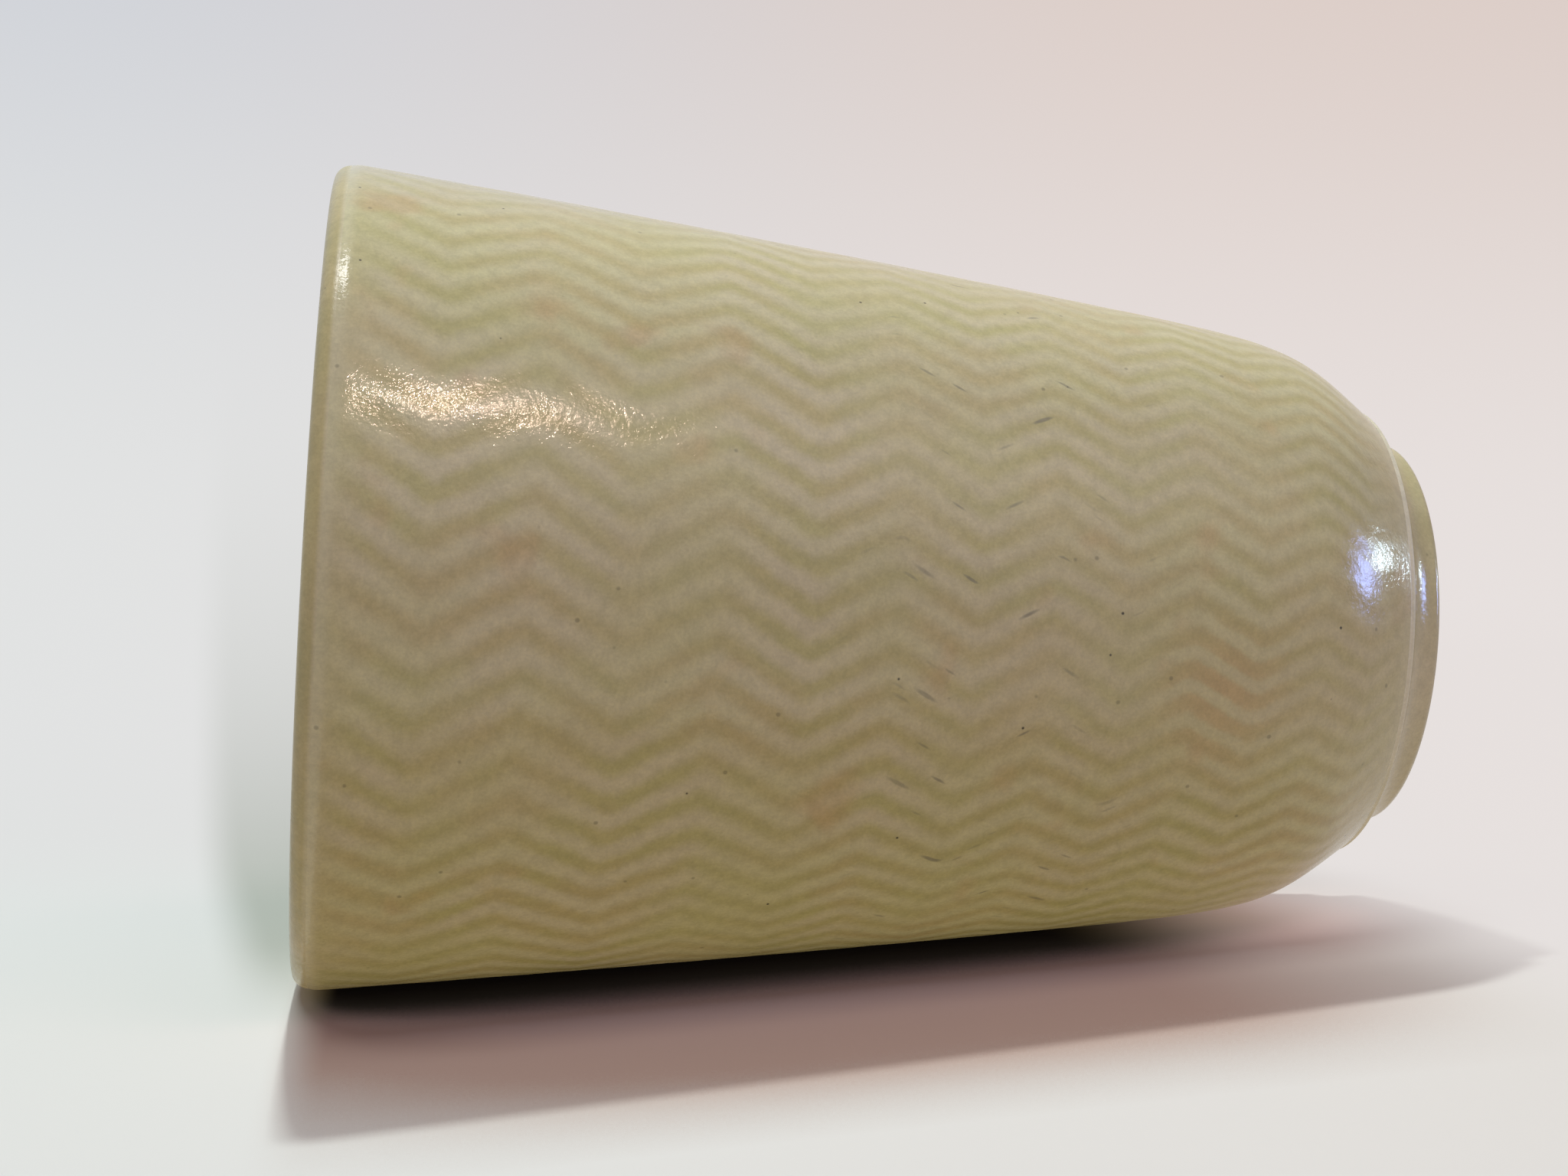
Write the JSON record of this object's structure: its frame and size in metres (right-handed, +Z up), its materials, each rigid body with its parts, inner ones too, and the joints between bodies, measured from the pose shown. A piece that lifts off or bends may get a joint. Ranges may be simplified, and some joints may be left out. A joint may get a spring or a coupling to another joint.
{
  "type": "faience vase",
  "caption": "Tapered open vase with a rounded lip, a domed lower wall on a recessed foot ring, and a semi-gloss glaze furrowed in zigzags. Holds flowers or stands alone.",
  "frame": {"origin": "centre of the ring that the foot stands on", "axes": "+Z up the vase's axis of revolution, from the foot to the mouth"},
  "size_m": [0.1642, 0.1642, 0.22],
  "materials": {
    "earthenware": "bare fired clay, matt",
    "slip": "pale slip under thin glaze, satin",
    "zigzag_glaze": "beige and olive zigzag glaze, semi-gloss",
    "rim_glaze": "olive-brown glaze, semi-gloss",
    "liner_glaze": "plain beige glaze, semi-gloss",
    "foot_glaze": "beige-olive glaze, semi-gloss"
  },
  "bodies": {
    "root": {"thrown_body": "earthenware", "foot_ring": "earthenware", "luting_slip": "slip", "outer_glaze": "zigzag_glaze", "rim_glaze": "rim_glaze", "inner_glaze": "liner_glaze", "foot_glaze": "foot_glaze", "base_glaze": "foot_glaze"}
  },
  "joints": []
}
